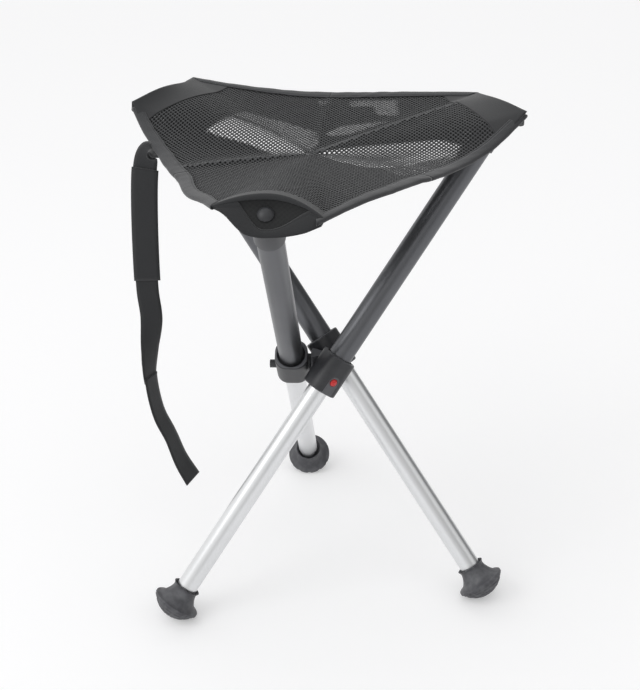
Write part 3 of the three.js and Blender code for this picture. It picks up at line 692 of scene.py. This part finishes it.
def addMeshCell(bm, known, i, j, hole, corners):  # a ring of faces round one hole
    a, b = (pitch * mm / 4 for pitch in net["pitch"])
    steps = ringSteps if corners == 8 else ringSteps[::2]
    outer, inner = [], []
    for u, v in steps:
        key = (2 * i + u, 2 * j + v)
        if key not in known:
            known[key] = bm.verts.new((hubCentre.x + key[0] * a, hubCentre.y + key[1] * b, 0))
        outer.append(known[key])
        bow = 2 * net["round"] if abs(u) == 1 else 1
        x, y = (2 * i + u * hole[0] * bow) * a, (2 * j + v * hole[1] * bow) * b
        inner.append(bm.verts.new((hubCentre.x + x, hubCentre.y + y, 0)))
    for k in range(len(steps)):
        after = (k + 1) % len(steps)
        bm.faces.new((outer[k], outer[after], inner[after], inner[k]))


# The lower net uses a darker copy of the upper net's material: painted shade under the upper net.
shadedNet = knittedNet("knittedPolyesterNetPaintedShade", "#161718", "#222325")


def makeNet(layerName):
    layer = net[layerName]
    a, b = (pitch * mm / 2 for pitch in net["pitch"])
    reach = 230 * mm
    columns, rows = int(reach / a), int(reach / b)
    sectors = {side: (bmesh.new(), {}) for side in sides}
    counts = dict.fromkeys(sides, 0)
    for i in range(-columns, columns + 1):
        for j in range(-rows, rows + 1):
            x, y = i * a, j * b
            if (i + j) % 2 == 0 or seatSpot(hubCentre.x + x, hubCentre.y + y)[0] > net["edge"]:
                continue
            hole = lowerHole(x / mm, y / mm)
            if layerName == "upper":
                close = 0.3 if onCrease(x / mm, y / mm) else 0.78 if hole is None else 1
                hole = [share * close for share in layer["hole"]]
            if hole:
                side = nearestLeg(hubCentre + Vector((x, y, 0)))
                addMeshCell(*sectors[side], i, j, hole, 8 if layerName == "upper" else 4)
                counts[side] += 1
    for side, (bm, _) in sectors.items():
        for vertex in bm.verts:
            vertex.co.z = seatSpot(vertex.co.x, vertex.co.y)[1] + layer["place"] * mm
        piece = newPiece(layerName + "Net." + side, bm)
        thick = piece.modifiers.new("yarn", "SOLIDIFY")
        thick.thickness = layer["thick"] * mm
        thick.offset = 0
        dress(piece, "seat_mesh", None, "seat_mesh")
        if layerName == "lower":
            piece.data.materials[0] = shadedNet
        blendSeat(piece)


makeNet("upper")
makeNet("lower")
print("nets made")


# Cloth from rows of points. Its UV map is the cloth laid flat, in metres
def clothPiece(name, rows, thickness, tapers=False):
    bm = bmesh.new()
    layer = bm.loops.layers.uv.new("clothUv")
    grid = [[bm.verts.new(p) for p in row] for row in rows]
    columns = [sum((b[j] - a[j]).length for a, b in zip(rows, rows[1:])) for j in range(len(rows[0]))]
    widest = columns.index(max(columns)) if tapers else len(columns) // 2
    lengths = [0.0]
    for first, second in zip(rows, rows[1:]):
        lengths.append(lengths[-1] + (second[widest] - first[widest]).length)
    middle = rows[len(rows) // 2]
    runs = [0.0]
    for first, second in zip(middle, middle[1:]):
        runs.append(runs[-1] + (second - first).length)
    for i in range(len(rows) - 1):
        for j in range(len(rows[0]) - 1):
            face = bm.faces.new((grid[i][j], grid[i][j + 1], grid[i + 1][j + 1], grid[i + 1][j]))
            for loop, (u, v) in zip(face.loops, ((runs[j], lengths[i]), (runs[j + 1], lengths[i]),
                                                 (runs[j + 1], lengths[i + 1]), (runs[j], lengths[i + 1]))):
                loop[layer].uv = (u, v)
    mesh = bpy.data.meshes.new(name)
    bm.to_mesh(mesh)
    bm.free()
    piece = bpy.data.objects.new(name, mesh)
    bpy.context.scene.collection.objects.link(piece)
    mesh.polygons.foreach_set("use_smooth", [True] * len(mesh.polygons))
    thick = piece.modifiers.new("cloth", "SOLIDIFY")
    thick.thickness = thickness
    thick.offset = 0
    return piece


# Bound hems: woven tape folded over the edge of the nets and sewn through near its inner edge
binding = {"width": 13, "thick": 0.8, "clear": 2.0, "turn": 1.2, "seam": 11, "pucker": 0.5, "wander": 1.1,
           "steps": 60, "wanderGrain": 45, "puckerGrain": 90,
           "past": {"front": (0.035, 0), "right": (0, 0), "left": (0, 0.005)}}


def insideEdge(edge, inward):  # a point of the seat, inward mm from its edge
    reach = math.hypot(edge.x - hubCentre.x, edge.y - hubCentre.y)
    return seatHollow.lerp(edge, 1 - inward * mm / reach)


def makeBinding(side, name, first, last):  # half a hem
    b = binding
    over = [(b["width"], 0.9), (b["seam"] + 0.8, 1), (b["seam"], 0.75), (b["seam"] - 0.8, 1.02),
            (b["width"] * 0.6, 1.06), (b["width"] * 0.3, 1.06), (b["width"] * 0.08, 0.95)]
    turned = [(-b["turn"] * 0.7, 0.6), (-b["turn"], 0), (-b["turn"] * 0.7, -0.6)]
    rows = []
    for inward, lift in over + turned + [(inward, -lift) for inward, lift in reversed(over)]:
        row = []
        for i in range(b["steps"] + 1):
            share = first + (last - first) * i / b["steps"]
            edge = hemPoint(side, share)
            ends = math.sin(math.pi * min(max(share, 0), 1)) ** 0.5
            wander = b["wander"] * noise.noise(edge * b["wanderGrain"]) * ends
            spot = edge * b["puckerGrain"] + Vector((inward * 0.1, 0, 0))
            pucker = b["pucker"] * noise.noise(spot) * ends
            row.append(insideEdge(edge, inward + wander) + Vector((0, 0, (b["clear"] * lift + pucker) * mm)))
        rows.append(row)
    piece = clothPiece(name, rows, b["thick"] * mm)
    dress(piece, "woven_binding", None, hemNode[side])
    blendSeat(piece)


hemNode = {"front": "hem_binding_right", "right": "hem_binding_back", "left": "hem_binding_left"}
for side in sides:
    before, after = binding["past"][side]  # the front corner's two hems run on over its flap
    makeBinding(side, "hemBinding." + side, -before, 0.5)
    makeBinding(side, "hemBinding." + side + ".far", 0.5, 1 + after)
print("hems made")


# Corners: a woven band on top, a flap of net held by the rivet, and the hem's tape round the flap
corner = {"reach": {"front": (13, 10, 14), "right": (29, 33, 35), "left": (29, 40, 20)}, "inset": 4,
          "thick": 1.1, "lift": 1.0, "plane": 315.9, "flapDrop": 21, "flapSide": 5, "near": 0.78, "far": 0.95,
          "columns": 48, "turn": (0.04, 0.08, 0.1), "tape": 0.83, "tapeNear": 0.54, "tapeFar": 0.78,
          "tapeThick": 0.7, "tapeLift": 1.25, "flapThick": 1.0,
          "tip": {"front": (0, 0), "right": (3.5, 0), "left": (0, 6)}}


def tipRise(side, share):  # the cloth stands up in a fold where a corner meets the hem
    near, far = corner["tip"][side]
    return (near * smoothShare((share + 0.7) / 1.3) + far * smoothShare((0.7 - share) / 1.3)) * mm


def flapPoint(side, share, down, lift=0.0):
    c, s = corner, seat
    point = ridgePoint(side, share)
    point.x *= 1 + ((c["near"] if share > 0 else c["far"]) - 1) * down
    point.y += (c["flapSide"] + (c["flapDrop"] - c["flapSide"] + s["cornerRise"]) * (1 - share ** 2)) * down
    flat = c["plane"] + (point.z - c["plane"]) * (1 - smoothShare(down / 0.24))
    point.z = flat + (point.z - flat) * share ** 2 + lift
    return point


def onLeg(side, point):
    return legFrame[side] @ (point * mm)


def flapSpot(side, share, down, lift=0.0):
    rise = tipRise(side, share) * (1 - smoothShare(down * 1.5))
    return onLeg(side, flapPoint(side, share, down, lift)) + Vector((0, 0, rise))


def bandEdge(side):  # inner edge of the band, from the hem before the corner to the hem after it
    middle, before, after = corner["reach"][side]
    previous = sides[sides.index(side) - 1]
    following = sides[(sides.index(side) + 1) % 3]
    lengths = [(cornerPoint(previous, -1) - cornerPoint(side, 1)).length / mm,
               (cornerPoint(following, 1) - cornerPoint(side, -1)).length / mm]
    ends = [insideEdge(hemPoint(previous, 1 - before / lengths[0]), corner["inset"]),
            insideEdge(hemPoint(side, after / lengths[1]), corner["inset"])]
    centre = 2 * insideEdge(cornerPoint(side, 0), middle) - (ends[0] + ends[1]) / 2
    return lambda t: ends[0] * (1 - t) ** 2 + centre * 2 * t * (1 - t) + ends[1] * t ** 2


def makeCorner(side):
    c = corner
    shares = [1 - 2 * i / c["columns"] for i in range(c["columns"] + 1)]
    inner = bandEdge(side)
    rows = []
    for inward in (1, 0.96, 0.85, 0.7, 0.5, 0.3, 0.12, 0.04, 0):
        row = []
        for share in shares:
            point = cornerPoint(side, share).lerp(inner((1 - share) / 2), inward)
            if inward > 0.1:
                point.z = seatSpot(point.x, point.y)[1]
            row.append(point + Vector((0, 0, c["lift"] * mm + tipRise(side, share) * (1 - inward) ** 3)))
        rows.append(row)
    for down in c["turn"]:
        rows.append([flapSpot(side, share, down, 1.1) for share in shares])
    band = clothPiece("cornerBand." + side, rows, c["thick"] * mm)
    dress(band, "woven_patch", "leg_" + side, "corner_patch_" + side)
    downs = [i / 16 for i in range(17)]
    rows = [[flapSpot(side, share, down) for share in shares] for down in downs]
    flap = clothPiece("cornerFlap." + side, rows, c["flapThick"] * mm)
    dress(flap, "woven_patch", "leg_" + side, "corner_patch_" + side)
    flap.data.materials[0] = netFlap
    folds = [(1, 0.9), (0.85, 1), (0.8, 0.85), (0.75, 1), (0.4, 1.05), (0.09, 1), (-0.08, 0.6), (-0.12, 0),
             (-0.08, -0.6), (0.09, -1), (0.4, -1), (0.9, -1)]
    rows = []
    for inward, lift in folds:
        row = []
        for share in shares:  # the tape takes up the whole height of the flap near its two ends
            off = min(abs(share) / (c["tapeNear"] if share > 0 else c["tapeFar"]), 1)
            top = max(c["tape"] * (1 - off ** 2.4), 0.09)
            row.append(flapSpot(side, share, 1 - inward * (1 - top), lift * c["tapeLift"]))
        rows.append(row)
    tape = clothPiece("cornerTape." + side, rows, c["tapeThick"] * mm, tapers=True)
    dress(tape, "woven_binding", "leg_" + side, "corner_patch_" + side)
    tape.data.materials[0] = shadedTape


# The flap's net is coloured far darker than the seat's net: painted shade of the recess round the rivet.
netFlap = wovenCloth("knittedNetFlapPaintedShade", "#1b1c1d", "#0d0e0f", net["pitch"][0], net["pitch"][1], 0.15, 0.7)
# The tape round the flaps is a darker copy of the hem tape: painted shade.
shadedTape = wovenCloth("wovenPolyesterTapePaintedShade", "#2a2b2d", "#1c1d1f", 1.6, 1.6, 0.2, 0.5)
for side in sides:
    makeCorner(side)
print("corners made")


# Carrying strap: four lengths of webbing sewn end over end, with a loop pad and a hook pad behind
strap = {"thick": 1.3, "hemShare": 0.24, "spread": 0.2, "tuck": 16, "loop": 8, "under": 1.8, "fall": 1,
         "drop": 386, "stepsAlong": 200, "fewestSteps": 8, "reach": 0.02,
         "route": [(0.015, 0.066), (0.026, 0.211), (0.032, 0.38), (0.028, 0.473), (0.039, 0.569),
                   (0.045, 0.665), (0.032, 0.768), (0.003, 0.846), (-0.021, 0.924), (-0.052, 0.99)],
         "turns": [0, -2, -7, -14, -48, -70, -72, -72, -67, -58],
         "lengths": (("Loop", 0, 0.25, 24, 0, 0.8), ("Top", 0.231, 0.405, 27, 1.4, 1.2),
                     ("Middle", 0.39, 0.668, 23, -0.05, 0.6), ("Tail", 0.656, 1, 23.5, 1.4, 0)),
         "pads": (("loopPad", "strap_loop_pad", 0.5, -1.4), ("hookPad", "strap_hook_pad", 0.83, 0.05)),
         "padLength": 50, "padWidth": 20, "padThick": 1.0}


def strapStations():
    s = strap
    edge = hemPoint("left", s["hemShare"])
    start = insideEdge(edge, s["tuck"])
    loop = insideEdge(edge, -s["loop"])
    before = hemPoint("left", s["hemShare"] * (1 - s["spread"]))
    along = (hemPoint("left", s["hemShare"] * (1 + s["spread"])) - before).normalized()
    down = (start - edge).cross(along).normalized()
    down *= -math.copysign(1, down.z)
    sewn = [point + down * s["under"] * mm for point in (start, edge, loop)]
    sewn[2].z -= s["fall"] * mm
    hanging = [sewn[2] - Vector((out, 0, drop)) * s["drop"] * mm for out, drop in s["route"]]
    return sewn + hanging, [0, 0, 0] + s["turns"], along


strapPoints, strapTurns, strapAlong = strapStations()


def strapPoint(place):  # a smooth curve through the stations
    k = min(int(place), len(strapPoints) - 2)
    t = place - k
    b, c = strapPoints[k], strapPoints[k + 1]
    a = strapPoints[k - 1] if k else 2 * b - c
    d = strapPoints[k + 2] if k + 2 < len(strapPoints) else 2 * c - b
    square, cube = 2 * a - 5 * b + 4 * c - d, 3 * b - a - 3 * c + d
    return 0.5 * (2 * b + (c - a) * t + square * t ** 2 + cube * t ** 3)


def strapRows(first, last, width, lift, offset=0.0, columns=7):
    rows = []
    steps = max(int((last - first) * strap["stepsAlong"]), strap["fewestSteps"])
    for i in range(steps + 1):
        place = (first + (last - first) * i / steps) * (len(strapPoints) - 1)
        k = min(int(place), len(strapPoints) - 2)
        turn = strapTurns[k] + (strapTurns[k + 1] - strapTurns[k]) * (place - k)
        further = strapPoint(min(place + strap["reach"], len(strapPoints) - 1))
        way = (further - strapPoint(max(place - strap["reach"], 0))).normalized()
        flat = strapAlong.lerp(Vector((1, 0, 0)), smoothShare((place - 1) / 2))
        flat = (flat - way * flat.dot(way)).normalized()
        flat.rotate(Matrix.Rotation(math.radians(turn), 3, way))
        away = way.cross(flat)
        middle = strapPoint(place) + (flat * offset + away * lift) * mm
        halves = [-1 + 2 * j / (columns - 1) for j in range(columns)]
        rows.append([middle + flat * half * width * mm / 2 for half in halves])
    return rows


def makeStrap():
    s = strap
    for name, first, last, width, lift, offset in s["lengths"]:
        rows = strapRows(first, last, width, lift, offset)
        webbing = clothPiece("carryStrap" + name, rows, s["thick"] * mm)
        dress(webbing, "strap_webbing", "leg_left", "carry_strap")
    total = sum((b - a).length for a, b in zip(strapPoints, strapPoints[1:])) / mm
    for name, node, first, lift in s["pads"]:
        rows = strapRows(first, first + s["padLength"] / total, s["padWidth"], lift)
        pad = clothPiece("carryStrap." + name, rows, s["padThick"] * mm)
        dress(pad, "strap_webbing", "leg_left", node)


makeStrap()
print("strap made")


# Floor, light and camera

studio = {"floor": "#dcdcdd", "sky": "#f8f8f9", "glow": 0.33, "dim": 0.16, "bright": 1.02,
          "towards": (-0.66, -0.12, 0.74), "key": 8, "fill": 3}


def makeStage():
    bm = bmesh.new()
    bmesh.ops.create_grid(bm, x_segments=1, y_segments=1, size=30)
    floor = newPiece("studioFloor", bm, smooth=False)
    floor.location.z = -0.0002
    paper = newMaterial("seamlessPaper", studio["floor"], 0.9)
    path = addNode(paper, "ShaderNodeLightPath")
    mirrored = addNode(paper, "ShaderNodeMath", {"operation": "MAXIMUM"},
                       {0: path.outputs["Is Camera Ray"], 1: path.outputs["Is Glossy Ray"]})
    seen = addNode(paper, "ShaderNodeMath", {"operation": "MAXIMUM"},
                   {0: mirrored.outputs["Value"], 1: path.outputs["Is Transmission Ray"]})
    glow = addNode(paper, "ShaderNodeMath", {"operation": "MULTIPLY"}, {0: seen.outputs["Value"]})
    glow.inputs[1].default_value = studio["glow"]
    paper.node_tree.nodes["Principled BSDF"].inputs["Emission Color"].default_value = (1, 1, 1, 1)
    feed(paper, "Emission Strength", glow.outputs["Value"])
    floor.data.materials.append(paper)
    world = bpy.data.worlds.new("studio")
    bpy.context.scene.world = world
    world.use_nodes = True
    tree = world.node_tree
    light = tree.nodes["Background"]
    light.inputs["Color"].default_value = (1, 1, 1, 1)
    direction = tree.nodes.new("ShaderNodeTexCoord")
    facing = tree.nodes.new("ShaderNodeVectorMath")
    facing.operation = "DOT_PRODUCT"
    facing.inputs[1].default_value = Vector(studio["towards"]).normalized()
    tree.links.new(direction.outputs["Generated"], facing.inputs[0])
    level = tree.nodes.new("ShaderNodeMapRange")
    level.interpolation_type = "SMOOTHSTEP"
    level.inputs["From Min"].default_value = -0.6
    level.inputs["From Max"].default_value = 0.9
    level.inputs["To Min"].default_value = studio["dim"]
    level.inputs["To Max"].default_value = studio["bright"]
    tree.links.new(facing.outputs["Value"], level.inputs["Value"])
    tree.links.new(level.outputs["Result"], light.inputs["Strength"])
    backdrop = tree.nodes.new("ShaderNodeBackground")
    backdrop.inputs["Color"].default_value = hexColour(studio["sky"])
    path = tree.nodes.new("ShaderNodeLightPath")
    mix = tree.nodes.new("ShaderNodeMixShader")
    tree.links.new(path.outputs["Is Camera Ray"], mix.inputs[0])
    tree.links.new(light.outputs[0], mix.inputs[1])
    tree.links.new(backdrop.outputs[0], mix.inputs[2])
    tree.links.new(mix.outputs[0], tree.nodes["World Output"].inputs["Surface"])


def addLamp(name, place, target, size, power):
    data = bpy.data.lights.new(name, "AREA")
    data.shape = "DISK"
    data.size = size
    data.energy = power
    lamp = bpy.data.objects.new(name, data)
    lamp.location = place
    lamp.rotation_euler = (Vector(target) - Vector(place)).to_track_quat("-Z", "Y").to_euler()
    bpy.context.scene.collection.objects.link(lamp)


makeStage()
addLamp("keyLamp", (-1.5, -0.9, 1.7), (0, 0, 0.2), 1.4, studio["key"])
addLamp("fillLamp", (1.7, -0.6, 1.1), (0, 0, 0.25), 1.6, studio["fill"])

view = {"place": (89.4, -1259.7, 668.4), "ahead": (-0.061, 0.8875, -0.4568), "roll": -1.34,
        "focal": 1362.4, "height": 690}
data = bpy.data.cameras.new("photoCamera")
data.sensor_fit = "VERTICAL"
data.sensor_height = 36
data.lens = view["focal"] * data.sensor_height / view["height"]
camera = bpy.data.objects.new("photoCamera", data)
ahead = Vector(view["ahead"]).normalized()
turn = ahead.to_track_quat("-Z", "Y").to_matrix() @ Matrix.Rotation(math.radians(view["roll"]), 3, "Z")
camera.matrix_world = Matrix.Translation(hubCentre + Vector(view["place"]) * mm) @ turn.to_4x4()
bpy.context.scene.collection.objects.link(camera)
bpy.context.scene.camera = camera
bpy.context.scene.view_settings.view_transform = "Standard"
print("stage made")
